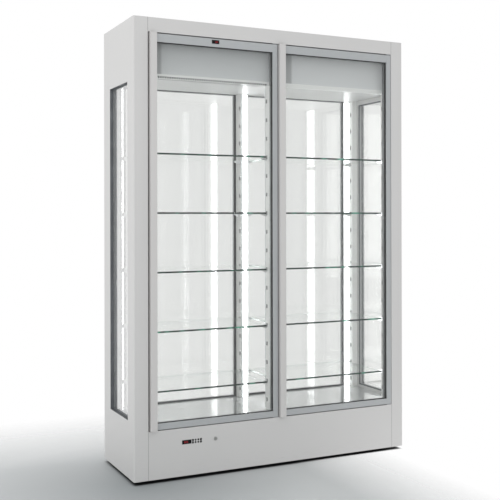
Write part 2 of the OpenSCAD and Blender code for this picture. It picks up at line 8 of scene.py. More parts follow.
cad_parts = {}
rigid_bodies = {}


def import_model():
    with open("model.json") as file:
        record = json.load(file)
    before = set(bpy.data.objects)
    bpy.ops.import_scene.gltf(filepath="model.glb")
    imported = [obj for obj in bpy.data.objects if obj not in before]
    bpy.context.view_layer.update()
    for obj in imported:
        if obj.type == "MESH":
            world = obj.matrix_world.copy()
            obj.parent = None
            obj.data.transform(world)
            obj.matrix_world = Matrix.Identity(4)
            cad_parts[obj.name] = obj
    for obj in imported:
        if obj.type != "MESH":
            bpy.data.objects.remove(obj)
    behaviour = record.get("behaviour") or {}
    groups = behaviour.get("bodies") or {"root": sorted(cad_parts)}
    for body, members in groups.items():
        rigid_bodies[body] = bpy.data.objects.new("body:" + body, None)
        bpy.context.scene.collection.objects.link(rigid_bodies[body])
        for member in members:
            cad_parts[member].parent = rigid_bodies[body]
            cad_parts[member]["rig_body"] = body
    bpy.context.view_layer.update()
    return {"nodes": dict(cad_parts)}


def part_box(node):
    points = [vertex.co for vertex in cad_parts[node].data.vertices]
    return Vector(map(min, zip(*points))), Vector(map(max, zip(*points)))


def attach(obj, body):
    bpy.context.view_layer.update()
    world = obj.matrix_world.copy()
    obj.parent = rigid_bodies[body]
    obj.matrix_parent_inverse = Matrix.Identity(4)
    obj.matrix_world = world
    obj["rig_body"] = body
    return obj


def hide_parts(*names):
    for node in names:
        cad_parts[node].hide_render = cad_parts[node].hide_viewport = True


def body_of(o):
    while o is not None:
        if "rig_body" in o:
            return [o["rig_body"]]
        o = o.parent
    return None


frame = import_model()

# ---- Outer casing ----
# The posts, side panels, front panels, roof and rear panel are folded sheet steel, powder coated
# in a light warm grey with a faint orange peel, and joined by fine butt joints.


class Value:
    """One output socket. Arithmetic on it adds Math nodes to its finish."""

    def __init__(self, finish, socket):
        self.finish, self.socket = finish, socket

    def __add__(self, other):
        return self.finish.maths("ADD", self, other)

    def __sub__(self, other):
        return self.finish.maths("SUBTRACT", self, other)

    def __rsub__(self, other):
        return self.finish.maths("SUBTRACT", other, self)

    def __mul__(self, other):
        return self.finish.maths("MULTIPLY", self, other)

    def __truediv__(self, other):
        return self.finish.maths("DIVIDE", self, other)

    __radd__ = __add__
    __rmul__ = __mul__


class Finish:
    """The nodes of a material or a world, with one method that adds any node."""

    def __init__(self, name, world=False):
        kept = bpy.data.worlds if world else bpy.data.materials
        self.material = kept.new(name)
        self.material.use_nodes = True
        self.tree = self.material.node_tree
        self.tree.nodes.clear()

    def node(self, kind, settings=None, sockets=None, out=0):
        made = self.tree.nodes.new("ShaderNode" + kind)
        for key, value in (settings or {}).items():
            if key == "stops":
                ramp = made.color_ramp
                for place, colour in value[1:-1]:
                    ramp.elements.new(place).color = (*colour, 1)
                for end, (place, colour) in ((0, value[0]), (-1, value[-1])):
                    ramp.elements[end].position = place
                    ramp.elements[end].color = (*colour, 1)
            else:
                setattr(made, key, value)
        for key, value in (sockets or {}).items():
            target = made.inputs[key]
            if isinstance(value, Value):
                self.tree.links.new(value.socket, target)
            elif target.type == "RGBA":
                target.default_value = (*value, 1)
            else:
                target.default_value = value
        return Value(self, made.outputs[out]) if made.outputs else made

    def maths(self, operation, a, b=0.0):
        return self.node("Math", {"operation": operation}, {0: a, 1: b})

    def limit(self, value):
        return self.node("Clamp", {}, {0: value})

    def where(self, scale=(1, 1, 1)):
        place = self.node("TexCoord", out="Object")
        return self.node("Mapping", {}, {"Vector": place, "Scale": scale})

    def height(self):
        return self.node("SeparateXYZ", {}, {0: self.where()}, "Z")

    def noise(self, size, detail=2, stretch=(1, 1, 1)):
        """Clouds from 0 to 1, about that many metres across."""
        sockets = {"Vector": self.where(stretch), "Scale": 1 / size, "Detail": detail}
        return self.node("TexNoise", {}, sockets, "Fac")

    def mix(self, amount, a, b):
        return self.node("Mix", {"data_type": "RGBA"}, {0: amount, 6: a, 7: b}, 2)

    def bump(self, height, depth, strength=1.0):
        sockets = {"Height": height, "Distance": depth, "Strength": strength}
        return self.node("Bump", {}, sockets)

    def show(self, shader):
        self.node("OutputMaterial", {}, {"Surface": shader})

    def principled(self, sockets):
        self.show(self.node("BsdfPrincipled", {}, sockets))


def powder_coat(name, colour, worn, gloss=0.42):
    """Powder coat of that colour, with scuffs towards the floor of the colour worn."""
    paint = Finish(name)
    peel = paint.noise(0.0011, 2)
    drift = paint.noise(0.5, 3)
    hands = paint.noise(0.07, 5)
    low = paint.limit(1 - paint.height() / 0.1)
    scuffs = paint.limit((paint.noise(0.012, 6, (0.3, 0.3, 3)) - 0.56) * 6) * low
    tone = paint.mix(drift, tuple(c * 0.965 for c in colour), tuple(c * 1.03 for c in colour))
    paint.principled(
        {
            "Base Color": paint.mix(scuffs * 0.2, tone, worn),
            "Roughness": gloss - 0.05 + 0.1 * hands + 0.15 * scuffs,
            "Normal": paint.bump(peel, 0.00006, 0.5),
            "Specular IOR Level": 0.45,
        }
    )
    return paint


def bar_between(bm, lo, hi):
    """Adds a plain bar to bm between two corners."""
    lo, hi = Vector(lo), Vector(hi)
    place = Matrix.Translation((lo + hi) / 2) @ Matrix.Diagonal((*(hi - lo), 1))
    bmesh.ops.create_cube(bm, size=1, matrix=place)


def settle(bm, name, finishes, body, replaced=(), crease=35):
    """Turns bm into a piece with sharp edges above crease degrees, riding on body."""
    bmesh.ops.recalc_face_normals(bm, faces=bm.faces)
    for face in bm.faces:
        face.smooth = True
    for edge in bm.edges:
        edge.smooth = len(edge.link_faces) == 2 and edge.calc_face_angle() < math.radians(crease)
    mesh = bpy.data.meshes.new(name)
    bm.to_mesh(mesh)
    bm.free()
    for finish in finishes:
        mesh.materials.append(finish.material)
    piece = bpy.data.objects.new(name, mesh)
    bpy.context.scene.collection.objects.link(piece)
    if crease > 10:
        even = piece.modifiers.new("even_shading", "WEIGHTED_NORMAL")
        even.keep_sharp = True
    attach(piece, body)
    if replaced:
        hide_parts(*replaced)
    return piece


def dress(node, finish, edge=0.0007):
    """The CAD node's own shape with its sharp edges eased to a small radius."""
    cad = frame["nodes"][node]
    bm = bmesh.new()
    bm.from_mesh(cad.data)
    bm.transform(cad.matrix_world)
    bmesh.ops.remove_doubles(bm, verts=bm.verts, dist=1e-6)
    bmesh.ops.dissolve_limit(bm, angle_limit=math.radians(0.5), verts=bm.verts, edges=bm.edges)
    square = math.radians(50)
    sharp = [e for e in bm.edges if len(e.link_faces) == 2 and e.calc_face_angle() > square]
    eased = {"offset": edge, "segments": 2, "profile": 0.5, "affect": "EDGES"}
    bmesh.ops.bevel(bm, geom=sharp, clamp_overlap=True, **eased)
    return settle(bm, node + "_finished", [finish], body_of(cad)[0], [node])


def carry(node, finish):
    """The CAD node as it is, in its finish."""
    cad = frame["nodes"][node]
    for held in cad.material_slots:
        held.material = finish.material


case_grey = (0.615, 0.613, 0.608)
scuff_grey = (0.33, 0.32, 0.31)
case_paint = powder_coat("case_powder_coat", case_grey, scuff_grey)
for node in ("base_front_panel", "top_front_panel", "left_side_panel", "right_side_panel"):
    dress(node, case_paint)
for node in ("front_left_post", "front_right_post"):
    dress(node, case_paint, 0.0005)
for node in ("roof_panel", "rear_lower_panel"):
    carry(node, case_paint)


def bars_piece(name, boxes, finishes, body, replaced=()):
    """One piece made of plain bars, each given by its two corners."""
    bm = bmesh.new()
    for lo, hi in boxes:
        bar_between(bm, lo, hi)
    return settle(bm, name, finishes, body, replaced)


cap_finish = powder_coat("end_cap_paint", case_grey, scuff_grey)
post_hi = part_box("front_right_post")[1]
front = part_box("front_right_post")[0].y
cap_top = post_hi.z - 0.0003
cap_low = post_hi.z - 0.004
# The inside of each tube: across from the middle, then back from the front face.
front_arm = (0.6357, 0.6613, 0.0017, 0.0903)
side_arm = (0.6614, 0.6951, 0.0062, 0.0533)
rear_tube = (0.6339, 0.6629, 0.3581, 0.4306)
caps = []
for away in (-1, 1):
    for x0, x1, y0, y1 in (front_arm, side_arm, rear_tube):
        xs = sorted((away * x0, away * x1))
        caps.append(((xs[0], front + y0, cap_low), (xs[1], front + y1, cap_top)))
bars_piece("top_end_caps", caps, [cap_finish], "case")

joint_finish = powder_coat("joint_filler", (0.20, 0.20, 0.20), scuff_grey, 0.6)
hair = 0.0006
proud = 0.00015
base_lo, base_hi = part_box("base_front_panel")
top_lo, top_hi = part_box("top_front_panel")
joints = []
inset = 0.001
for x in (base_lo.x, base_hi.x):
    low, high = base_lo.z, base_hi.z - inset
    joints.append(((x - hair, base_lo.y - proud, low), (x + hair, base_lo.y, high)))
    low, high = top_lo.z + inset, top_hi.z
    joints.append(((x - hair, top_lo.y - proud, low), (x + hair, top_lo.y, high)))
bars_piece("casing_joints", joints, [joint_finish], "case")

# ---- Base tray, feet, cable gland and cover screws ----
# The tray is galvanised sheet with a crystalline spangle. Four steel feet with black plastic pads
# screw into it, and zinc-plated screws hold the roof flange and the rear panel.


def brushed(name, colour, grain, gloss, metal=1.0):
    """Metal brushed or drawn along the axis in which grain is small."""
    steel = Finish(name)
    lines = steel.noise(0.001, 3, grain)
    cloud = steel.noise(0.3, 3)
    low, high = (tuple(c * k for c in colour) for k in (0.94, 1.05))
    steel.principled(
        {
            "Base Color": steel.mix(steel.limit(0.6 * lines + 0.4 * cloud), low, high),
            "Metallic": metal,
            "Roughness": gloss + 0.14 * lines + 0.04 * cloud,
            "Normal": steel.bump(lines, 0.00002, 0.35),
        }
    )
    return steel


def rubber(name, colour, gloss):
    """Matt rubber or moulded plastic with a fine grit and a pale bloom."""
    black = Finish(name)
    grit = black.noise(0.0015, 4)
    bloom = black.limit((black.noise(0.05, 4) - 0.45) * 2)
    black.principled(
        {
            "Base Color": black.mix(bloom, colour, tuple(c * 1.6 + 0.01 for c in colour)),
            "Roughness": gloss + 0.15 * grit,
            "Normal": black.bump(grit, 0.00005, 0.5),
        }
    )
    return black


zinc_sheet = Finish("galvanised_sheet")
spangle = zinc_sheet.node("TexVoronoi", {}, {"Vector": zinc_sheet.where(), "Scale": 70}, "Color")
flake = zinc_sheet.node("SeparateColor", {}, {0: spangle}, "Red")
streak = zinc_sheet.noise(0.02, 4, (1, 1, 0.2))
zinc_sheet.principled(
    {
        "Base Color": zinc_sheet.mix(flake, (0.42, 0.43, 0.44), (0.60, 0.61, 0.62)),
        "Metallic": 0.85,
        "Roughness": 0.32 + 0.14 * flake + 0.08 * streak,
        "Normal": zinc_sheet.bump(flake, 0.00003, 0.4),
    }
)
zinc_plate = brushed("zinc_plate", (0.55, 0.56, 0.57), (1, 1, 1), 0.3)
foot_rubber = rubber("foot_pad", (0.02, 0.02, 0.022), 0.55)
carry("base_tray", zinc_sheet)
dress("levelling_feet", foot_rubber, 0.0006)
dress("cable_gland", foot_rubber, 0.0004)


def turn_on(bm, outline, place, sides=48, toward=(0, -1, 0)):
    """Adds a lathe-turned shape to bm. The outline's points are (radius, distance along toward)."""
    turn = Vector(toward).to_track_quat("Z", "Y").to_matrix()
    rings = []
    for radius, along in outline:
        if radius < 1e-6:
            rings.append([bm.verts.new(Vector(place) + turn @ Vector((0, 0, along)))])
            continue
        angles = [2 * math.pi * i / sides for i in range(sides)]
        ring = [turn @ Vector((radius * math.cos(a), radius * math.sin(a), along)) for a in angles]
        rings.append([bm.verts.new(Vector(place) + point) for point in ring])
    for first, second in zip(rings, rings[1:]):
        for i in range(sides):
            j = (i + 1) % sides
            corners = [first[i % len(first)], first[j % len(first)]]
            corners += [second[j % len(second)], second[i % len(second)]]
            bm.faces.new(list(dict.fromkeys(corners)))


screw_lo, screw_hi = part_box("cover_screws")
head_r = 0.004
head_h = screw_hi.y - screw_lo.y
first_x = screw_lo.x + head_r
screw_pitch = (screw_hi.x - screw_lo.x - 2 * head_r) / 4
screw_columns = [first_x + i * screw_pitch for i in range(5)]
case_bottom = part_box("base_tray")[0].z
screw_rows = [case_bottom + h for h in (0.018, 0.195, 1.810, 1.980)]
socket_r = 0.0018
head_outline = [(0, head_h * 0.35), (socket_r, head_h * 0.35), (socket_r, head_h * 0.86)]
head_outline += [(head_r * 0.6, head_h), (head_r * 0.86, head_h * 0.7), (head_r, head_h * 0.3)]
head_outline += [(head_r, 0), (0, 0)]
heads = bmesh.new()
for x in screw_columns:
    for z in screw_rows:
        turn_on(heads, head_outline, (x, screw_lo.y, z), 20, (0, 1, 0))
settle(heads, "cover_screw_heads", [zinc_plate], "case", ["cover_screws"])

# ---- Uprights and linings of the display space ----
# The mullion, the rear posts and their rails are slotted steel in a semi-gloss light grey. The
# floor is a bright glossy sheet, and the ceiling is a white sheet punched with rows of vents.
upright_paint = powder_coat("upright_semi_gloss", (0.80, 0.805, 0.795), scuff_grey, 0.3)
for node in ("center_mullion", "rear_left_post", "rear_center_post", "rear_right_post"):
    dress(node, upright_paint, 0.0005)
dress("rear_glazing_rails", upright_paint)

# This black is painted shade: sheets inside the slots of the hollow uprights, over the ceiling vents
# and on the fascia hem.
shade_finish = rubber("painted_shade_black", (0.006, 0.006, 0.0065), 0.6)
wall = 0.0015
shade_sheet_t = 0.0005
slot_w = 0.008
post_face = 0.634
mullion_lo, mullion_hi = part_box("center_mullion")
slot_depths = (mullion_hi.y - 0.017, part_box("rear_center_post")[0].y + 0.012)
mullion_walls = (mullion_lo.x + wall, mullion_hi.x - wall - shade_sheet_t)
post_walls = (-post_face - wall - shade_sheet_t, post_face + wall)
slot_rows = [(x, y) for x in mullion_walls + post_walls for y in slot_depths]
space_lo, space_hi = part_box("led_diffusers")
slot_ends = 0.01
slot_shades = []
for x, y in slot_rows:
    low = (x, y, space_lo.z + slot_ends)
    high = (x + shade_sheet_t, y + slot_w, space_hi.z - slot_ends)
    slot_shades.append((low, high))
bars_piece("painted_slot_shades", slot_shades, [shade_finish], "case")

floor_gloss = Finish("floor_gloss")
scratches = floor_gloss.limit((floor_gloss.noise(0.004, 5, (6, 0.3, 1)) - 0.6) * 8)
floor_gloss.principled(
    {
        "Base Color": floor_gloss.mix(
            floor_gloss.noise(0.4),
            (0.60, 0.61, 0.61),
            (0.66, 0.67, 0.67),
        ),
        "Roughness": 0.09 + 0.08 * scratches + 0.05 * floor_gloss.noise(0.06, 4),
        "Metallic": 0.25,
        "Coat Weight": 0.6,
        "Normal": floor_gloss.bump(floor_gloss.noise(0.25), 0.0004, 0.3),
    }
)
dress("interior_floor", floor_gloss, 0.0005)

ceiling_paint = powder_coat("ceiling_white", (0.66, 0.665, 0.66), scuff_grey, 0.38)
carry("ceiling_panels", ceiling_paint)
ceiling_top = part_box("ceiling_panels")[1].z
# A black sheet over part of the ceiling vents is painted shade of the dark header above them.
tray_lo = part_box("evaporator_tray")[0]
vent_shade_low = (tray_lo.x, mullion_hi.y - 0.009, ceiling_top + 0.0001)
vent_shade_high = (-0.020, tray_lo.y - 0.0005, ceiling_top + 0.0006)
bars_piece("painted_vent_shade", [(vent_shade_low, vent_shade_high)], [shade_finish], "case")

# ---- Header fascias ----
# Two folded sheets hang in front of the cooling coil. They are satin aluminium, rolled lengthways,
# with a narrow return lip and a bare, brighter hem. A row of air holes in the left hem is drawn as
# dark marks, painted shade.
fascia_lo, fascia_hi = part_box("header_fascias")
fascia_satin = Finish("fascia_satin")
# The face is painted darker towards the top, painted shade from the top panel above it.
rise = fascia_satin.limit((fascia_satin.height() - fascia_lo.z) / (fascia_hi.z - fascia_lo.z))
rolled = fascia_satin.noise(0.001, 3, (0.01, 1, 1))
hem_height = 0.019
hem = fascia_satin.limit((fascia_lo.z + hem_height - fascia_satin.height()) * 2000)
face = fascia_satin.mix(rise, (0.68, 0.70, 0.71), (0.46, 0.48, 0.49))
across = fascia_satin.node("SeparateXYZ", {}, {0: fascia_satin.where()}, "X")
right_start = 0.019
in_left = fascia_satin.maths("LESS_THAN", across, 0.0)
in_right = fascia_satin.maths("GREATER_THAN", across, 0.0)
from_end = across - fascia_lo.x * in_left - right_start * in_right
# A darker strip at the left end of each fascia is a painted shadow of the door grip.
grip_shadow_width = 0.084
grip_shadow = fascia_satin.limit((grip_shadow_width - from_end) * 90)
# The right bay is painted lighter, a painted reflection of the lit interior.
face = fascia_satin.mix(0.3 * in_right, face, (0.9, 0.91, 0.92))
face = fascia_satin.mix(0.42 * grip_shadow, face, (0.10, 0.105, 0.11))
fascia_satin.principled(
    {
        "Base Color": fascia_satin.mix(hem, face, (0.88, 0.89, 0.88)),
        "Metallic": 0.15,
        "Roughness": 0.36 + 0.12 * rolled,
        "Normal": fascia_satin.bump(rolled, 0.00002, 0.3),
    }
)
dress("header_fascias", fascia_satin, 0.0003)
# Dark marks along the left hem are painted shade standing for its air holes.
tooth_pitch = 0.011
tooth_w = 0.006
teeth_from = fascia_lo.x + 0.03
hole_shades = []
for x in [teeth_from + i * tooth_pitch for i in range(52)]:
    low = (x, fascia_lo.y - 0.0002, fascia_lo.z + 0.0005)
    high = (x + tooth_w, fascia_lo.y, fascia_lo.z + 0.0095)
    hole_shades.append((low, high))
bars_piece("painted_hole_shades", hole_shades, [shade_finish], "case")

# ---- Cooling unit in the header ----
# Aluminium fins on copper tubes stand in a drip tray, drawn near black as painted shade inside the
# header. Two black axial fans draw air through them, and the LED driver is a small aluminium box
# beside them.
fin_metal = brushed("fin_aluminium", (0.62, 0.64, 0.66), (1, 1, 0.05), 0.28)
copper = brushed("drawn_copper", (0.70, 0.38, 0.24), (1, 1, 0.1), 0.22)
tray_shade_black = rubber("drip_tray_painted_shade", (0.03, 0.031, 0.033), 0.5)
fan_plastic = rubber("fan_plastic", (0.018, 0.018, 0.02), 0.36)
for node, finish in (
    ("evaporator_coil", fin_metal),
    ("evaporator_tray", tray_shade_black),
    ("evaporator_fan_left", fan_plastic),
    ("evaporator_fan_right", fan_plastic),
    ("refrigerant_pipes", copper),
):
    carry(node, finish)
dress("led_driver", fin_metal, 0.0008)

# ---- Condensing unit in the base ----
# A black enamelled compressor on rubber buffers, a painted condenser coil, and a fan in a
# galvanised shroud that blows across it.
enamel = Finish("compressor_enamel")
flow = enamel.noise(0.006, 3)
enamel.principled(
    {
        "Base Color": enamel.mix(enamel.noise(0.04, 4), (0.010, 0.010, 0.011), (0.028, 0.028, 0.03)),
        "Roughness": 0.22 + 0.12 * flow,
        "Coat Weight": 0.4,
        "Normal": enamel.bump(flow, 0.0001, 0.5),
    }
)
carry("compressor", enamel)
carry("condenser_coil", rubber("condenser_paint", (0.03, 0.03, 0.032), 0.4))
carry("fan_shroud", zinc_sheet)
carry("condenser_fan", fan_plastic)

# ---- LED uprights ----
# Opal lenses clip into anodised channels: two flat ones on the middle posts and an angled one in
# each corner. The light is a neutral white, strongest along the middle of each lens.
anodised = brushed("satin_anodised", (0.44, 0.465, 0.48), (1, 1, 0.01), 0.27)
dress("led_channels", anodised, 0.0004)
opal = Finish("led_opal")
diode_pitch = 0.0125
corner_x = 0.622
sideways = opal.maths("ABSOLUTE", opal.node("SeparateXYZ", {}, {0: opal.where()}, "X"))
in_corner = opal.maths("GREATER_THAN", sideways, 0.3)
off_axis = opal.maths("ABSOLUTE", sideways - in_corner * corner_x)
bright_half = 0.002
fade_width = 0.0115
edge_fade = opal.limit(1 - (off_axis - bright_half) / fade_width)
core = edge_fade * edge_fade
core = core * (1 - 0.5 * in_corner)
ripple = opal.maths("SINE", opal.height() * (2 * math.pi / diode_pitch))
opal.principled(
    {
        "Base Color": opal.mix(opal.noise(0.02), (0.90, 0.92, 0.93), (0.95, 0.96, 0.97)),
        "Roughness": 0.3 + 0.05 * opal.noise(0.003) + 0.03 * ripple,
        "Emission Color": opal.mix(core, (0.025, 0.0255, 0.026), (0.98, 0.99, 1.0)),
        "Emission Strength": 15.0,
    }
)
dress("led_diffusers", opal, 0.0005)

# ---- Windows ----
# Each side window and each rear window is a sealed double-glazed unit: float glass on a metal
# spacer bar, held by black gaskets. The units are drawn as closed blocks.
glass_index = 1.5


def float_glass(name, tint, boost=1.0):
    """Clear glass that mirrors by its angle, with faint wiping marks in the reflection."""
    glass = Finish(name)
    behind = glass.node("NewGeometry", out="Backfacing")
    inside_drop = glass_index - 1 / glass_index
    fresnel = glass.node("Fresnel", {}, {"IOR": glass_index - behind * inside_drop})
    marks = glass.limit((glass.noise(0.03, 6, (1, 1, 0.25)) - 0.55) * 3)
    mirror = glass.node("BsdfGlossy", {}, {"Color": (1, 1, 1), "Roughness": 0.0})
    clear = glass.node("BsdfTransparent", {}, {"Color": tint})
    share = glass.limit(boost * 2 * fresnel / (1 + fresnel) + 0.004 * marks)
    glass.show(glass.node("MixShader", {}, {0: share, 1: clear, 2: mirror}))
    return glass


def block(name, lo, hi, finishes, body, slot, replaced=(), edge=0.0005):
    """A block with eased edges. Finishes two and three are for its front edge and its other edges."""
    bm = bmesh.new()
    bar_between(bm, lo, hi)
    size = Vector(hi) - Vector(lo)
    thin = min(range(3), key=lambda axis: size[axis])
    bmesh.ops.bevel(bm, geom=bm.edges[:], offset=edge, segments=2, profile=0.5, affect="EDGES")
    bm.normal_update()
    for face in bm.faces:
        if len(finishes) > 1 and abs(face.normal[thin]) < 0.9:
            face.material_index = 1 if face.normal.y < -0.3 else 2
    return settle(bm, name, finishes, body, replaced, 5)


window_glass = float_glass("window_glass", (0.972, 0.975, 0.97), boost=1.5)
for node in ("left_window_glass", "right_window_glass", "rear_left_glass", "rear_right_glass"):
    name = node.replace("_glass", "_unit")
    block(name, *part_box(node), [window_glass], "case", "glass", [node])
gasket = rubber("gasket_rubber", (0.012, 0.0125, 0.0135), 0.5)


def ring(bm, lo, hi, widths, across):
    """A rectangular ring in bm that faces along across; widths are sides, bottom and top."""
    side, bottom, top = widths
    u = 1 - across
    bars = [
        ((lo[u], lo.z), (lo[u] + side, hi.z)),
        ((hi[u] - side, lo.z), (hi[u], hi.z)),
        ((lo[u] + side, lo.z), (hi[u] - side, lo.z + bottom)),
        ((lo[u] + side, hi.z - top), (hi[u] - side, hi.z)),
    ]
    for (u0, z0), (u1, z1) in bars:
        low, high = Vector(lo), Vector(hi)
        low[u], low.z, high[u], high.z = u0, z0, u1, z1
        bar_between(bm, low, high)


seals_lo, seals_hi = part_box("glazing_seals")
lip = 0.0015
rear = bmesh.new()
out = Vector((0.001, 0, 0.001))
for side in ("left", "right"):
    lo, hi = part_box(f"rear_{side}_glass")
    low = Vector((lo.x, lo.y - lip, lo.z)) - out
    high = Vector((hi.x, lo.y, hi.z)) + out
    ring(rear, low, high, (0.013, 0.006, 0.002), 1)
settle(rear, "rear_glazing_seals", [gasket], "case", ["glazing_seals"])

spacer_metal = brushed("spacer_bar", (0.45, 0.46, 0.47), (1, 1, 0.05), 0.35, 0.6)
gaskets = bmesh.new()
bars = bmesh.new()
pane = 0.004
out = Vector((0, 0.001, 0.001))
skin_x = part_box("right_side_panel")[1].x - 0.0005
for side in ("left", "right"):
    lo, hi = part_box(f"{side}_window_glass")
    if side == "left":
        outer, face, back, inward = seals_lo.x, lo.x, hi.x, lip
    else:
        outer, face, back, inward = seals_hi.x, hi.x, lo.x, -lip
    # In the reveal outside the glass, where the dark rubber on the recess walls is partly gasket and
    # partly painted shade, at the outer skin, and on the inner side of the glass.
    for xs, widths in (
        ((outer, face), (0.0025, 0.003, 0.003)),
        ((math.copysign(skin_x, outer), outer), (0.001, 0.001, 0.0005)),
        ((back, back + inward), (0.006, 0.007, 0.005)),
    ):
        low = Vector((min(xs), lo.y, lo.z))
        high = Vector((max(xs), hi.y, hi.z))
        ring(gaskets, low - out, high + out, widths, 0)
    low = Vector((lo.x + pane, lo.y, lo.z))
    high = Vector((hi.x - pane, hi.y, hi.z))
    ring(bars, low, high, (0.005, 0.006, 0.005), 0)
    lo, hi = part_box(f"rear_{side}_glass")
    low = Vector((lo.x, lo.y + pane, lo.z))
    high = Vector((hi.x, hi.y - pane, hi.z))
    ring(bars, low, high, (0.011, 0.006, 0.004), 1)
gasket_and_shade_rubber = rubber("window_gasket", (0.09, 0.097, 0.105), 0.5)
settle(gaskets, "window_gaskets", [gasket_and_shade_rubber], "case")
settle(bars, "glazing_spacers", [spacer_metal], "case")

# ---- Shelves ----
# Ten loose sheets of float glass with polished edges: dark green in front with painted glints of the
# lamps, and a painted pale glow at the sides and the back, where light leaves the sheet. Zinc-plated
# brackets carry them, hooked into slots in the uprights, each slot ringed in black as painted shade.
shelf_glass = float_glass("shelf_glass", (0.965, 0.978, 0.97))
shelf_edge = Finish("shelf_edge")
along = shelf_edge.noise(0.05, 4, (1, 1, 0.1))
deep_green = (0.36, (0.002, 0.011, 0.007))
middle_green = (0.56, (0.008, 0.05, 0.03))
# The brightest green is a painted glint of the lamps seen in the polished edge.
glint_green = (0.68, (0.12, 0.46, 0.32))
greens = {"stops": [deep_green, middle_green, glint_green]}
shelf_edge.principled(
    {
        "Base Color": shelf_edge.node("ValToRGB", greens, {"Fac": along}),
        "Roughness": 0.16 + 0.08 * shelf_edge.noise(0.004, 3),
        "Specular IOR Level": 0.25,
    }
)
# The side and back edges are painted pale, a painted glow where lamp light leaves the glass.
glow_edge = Finish("shelf_edge_painted_glow")
glow_edge.principled(
    {
        "Base Color": glow_edge.mix(
            glow_edge.noise(0.04, 4),
            (0.55, 0.66, 0.61),
            (0.78, 0.86, 0.82),
        ),
        "Roughness": 0.12 + 0.1 * glow_edge.noise(0.004, 3),
        "Alpha": 0.45 + 0.1 * glow_edge.noise(0.02),
    }
)
shelf_count = 5
shelf_thickness = 0.008
for side in ("left", "right"):
    lo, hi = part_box(f"{side}_shelves")
    pitch = (hi.z - lo.z - shelf_thickness) / (shelf_count - 1)
    for i in range(shelf_count):
        low = Vector((lo.x, lo.y, lo.z + i * pitch))
        high = Vector((hi.x, hi.y, low.z + shelf_thickness))
        stands_for = [f"{side}_shelves"] if i == 0 else ()
        finishes = [shelf_glass, shelf_edge, glow_edge]
        name = f"{side}_shelf_{i + 1}"
        block(name, low, high, finishes, "case", "shelf_glass", stands_for, 0.0008)
bracket_zinc = brushed("bracket_zinc", (0.62, 0.625, 0.63), (1, 1, 1), 0.4, 0.4)
dress("shelf_brackets", bracket_zinc, 0.0004)

# Black rings round the slot openings are painted shade that darkens the slots.
shade_rings = bmesh.new()
shade_ring_t = 0.0003
slot_count = 17
slot_pitch = 0.087333
first_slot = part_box("left_shelves")[0].z + shelf_thickness / 2 - slot_pitch
for x, y in slot_rows:
    on_post = abs(x) > 0.3
    face_x = math.copysign(post_face if on_post else mullion_hi.x, x)
    into_space = math.copysign(shade_ring_t, -x if on_post else x)
    xs = sorted((face_x, face_x + into_space))
    for i in range(slot_count):
        z = first_slot + i * slot_pitch
        lo = Vector((xs[0], y - 0.0025, z - 0.0085))
        hi = Vector((xs[1], y + 0.0105, z + 0.0085))
        ring(shade_rings, lo, hi, (0.0038, 0.0023, 0.0023), 0)
settle(shade_rings, "painted_slot_rings", [fan_plastic], "case")

# ---- Doors ----
# Each door is a painted grip stile and three anodised profiles round a sealed unit with a black
# spacer. A magnetic seal sits in its back, and steel pins turn in brackets on the case.
grip_paint = powder_coat("grip_powder_coat", (0.60, 0.592, 0.585), scuff_grey, 0.36)
rail_finish = brushed("door_anodised", (0.49, 0.51, 0.52), (1, 1, 0.01), 0.36, 0.4)
spacer_black = rubber("spacer_black", (0.005, 0.005, 0.006), 0.6)
seal_grey = rubber("door_seal_grey", (0.20, 0.205, 0.21), 0.5)
door_glass = float_glass("door_glass", (0.98, 0.984, 0.98))
for side in ("left", "right"):
    dress(f"{side}_door_grip", grip_paint, 0.0009)
    dress(f"{side}_door_frame", rail_finish, 0.0006)
    dress(f"{side}_door_spacer", spacer_black, 0.0003)
    dress(f"{side}_door_seal", seal_grey, 0.0012)
    carry(f"{side}_door_pins", zinc_plate)
    node = f"{side}_door_glass"
    block(f"{side}_door_unit", *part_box(node), [door_glass], f"{side}_door", "glass", [node])
dress("hinge_brackets", zinc_plate, 0.0004)

# ---- Door thermometer ----
# A snap-in digital thermometer: a black moulded case with a dark window, and small red digits
# that shine through the window.
lit_digit = Finish("lit_digit")
lit_digit.principled(
    {
        "Base Color": (0.2, 0.01, 0.01),
        "Roughness": 0.4,
        "Emission Color": lit_digit.mix(
            lit_digit.noise(0.002),
            (1.0, 0.03, 0.04),
            (0.85, 0.05, 0.08),
        ),
        "Emission Strength": 0.55,
    }
)
segments_of = {"0": "abcdef", "2": "abged", "4": "fgbc", "5": "afgcd"}


def digits(name, text, middle, height, proud, body):
    """Seven-segment digits, side by side across X, standing proud of the face at middle."""
    bm = bmesh.new()
    h = height
    w = height * 0.5
    bar = height * 0.12
    bars = {"a": (0, h / 2, 1), "g": (0, 0, 1), "d": (0, -h / 2, 1), "f": (-w / 2, h / 4, 0)}
    bars |= {"b": (w / 2, h / 4, 0), "e": (-w / 2, -h / 4, 0), "c": (w / 2, -h / 4, 0)}
    pitch = w * 1.6
    for k, mark in enumerate(text):
        x0 = middle.x + (k - (len(text) - 1) / 2) * pitch
        for key in segments_of[mark]:
            dx, dz, flat = bars[key]
            half = (w if flat else h / 2) / 2 - bar * 0.35
            shape = [(-half, 0), (-half + bar / 2, bar / 2), (half - bar / 2, bar / 2), (half, 0)]
            shape += [(half - bar / 2, -bar / 2), (-half + bar / 2, -bar / 2)]
            points = [(a, b) if flat else (b, a) for a, b in shape]
            spots = [(x0 + dx + a, middle.z + dz + b) for a, b in points]
            front = [bm.verts.new((x, middle.y - proud, z)) for x, z in spots]
            back = [bm.verts.new((v.co.x, middle.y, v.co.z)) for v in front]
            bm.faces.new(front)
            bm.faces.new(back[::-1])
            for i in range(6):
                j = (i + 1) % 6
                bm.faces.new([front[i], back[i], back[j], front[j]])
    return settle(bm, name, [lit_digit], body)


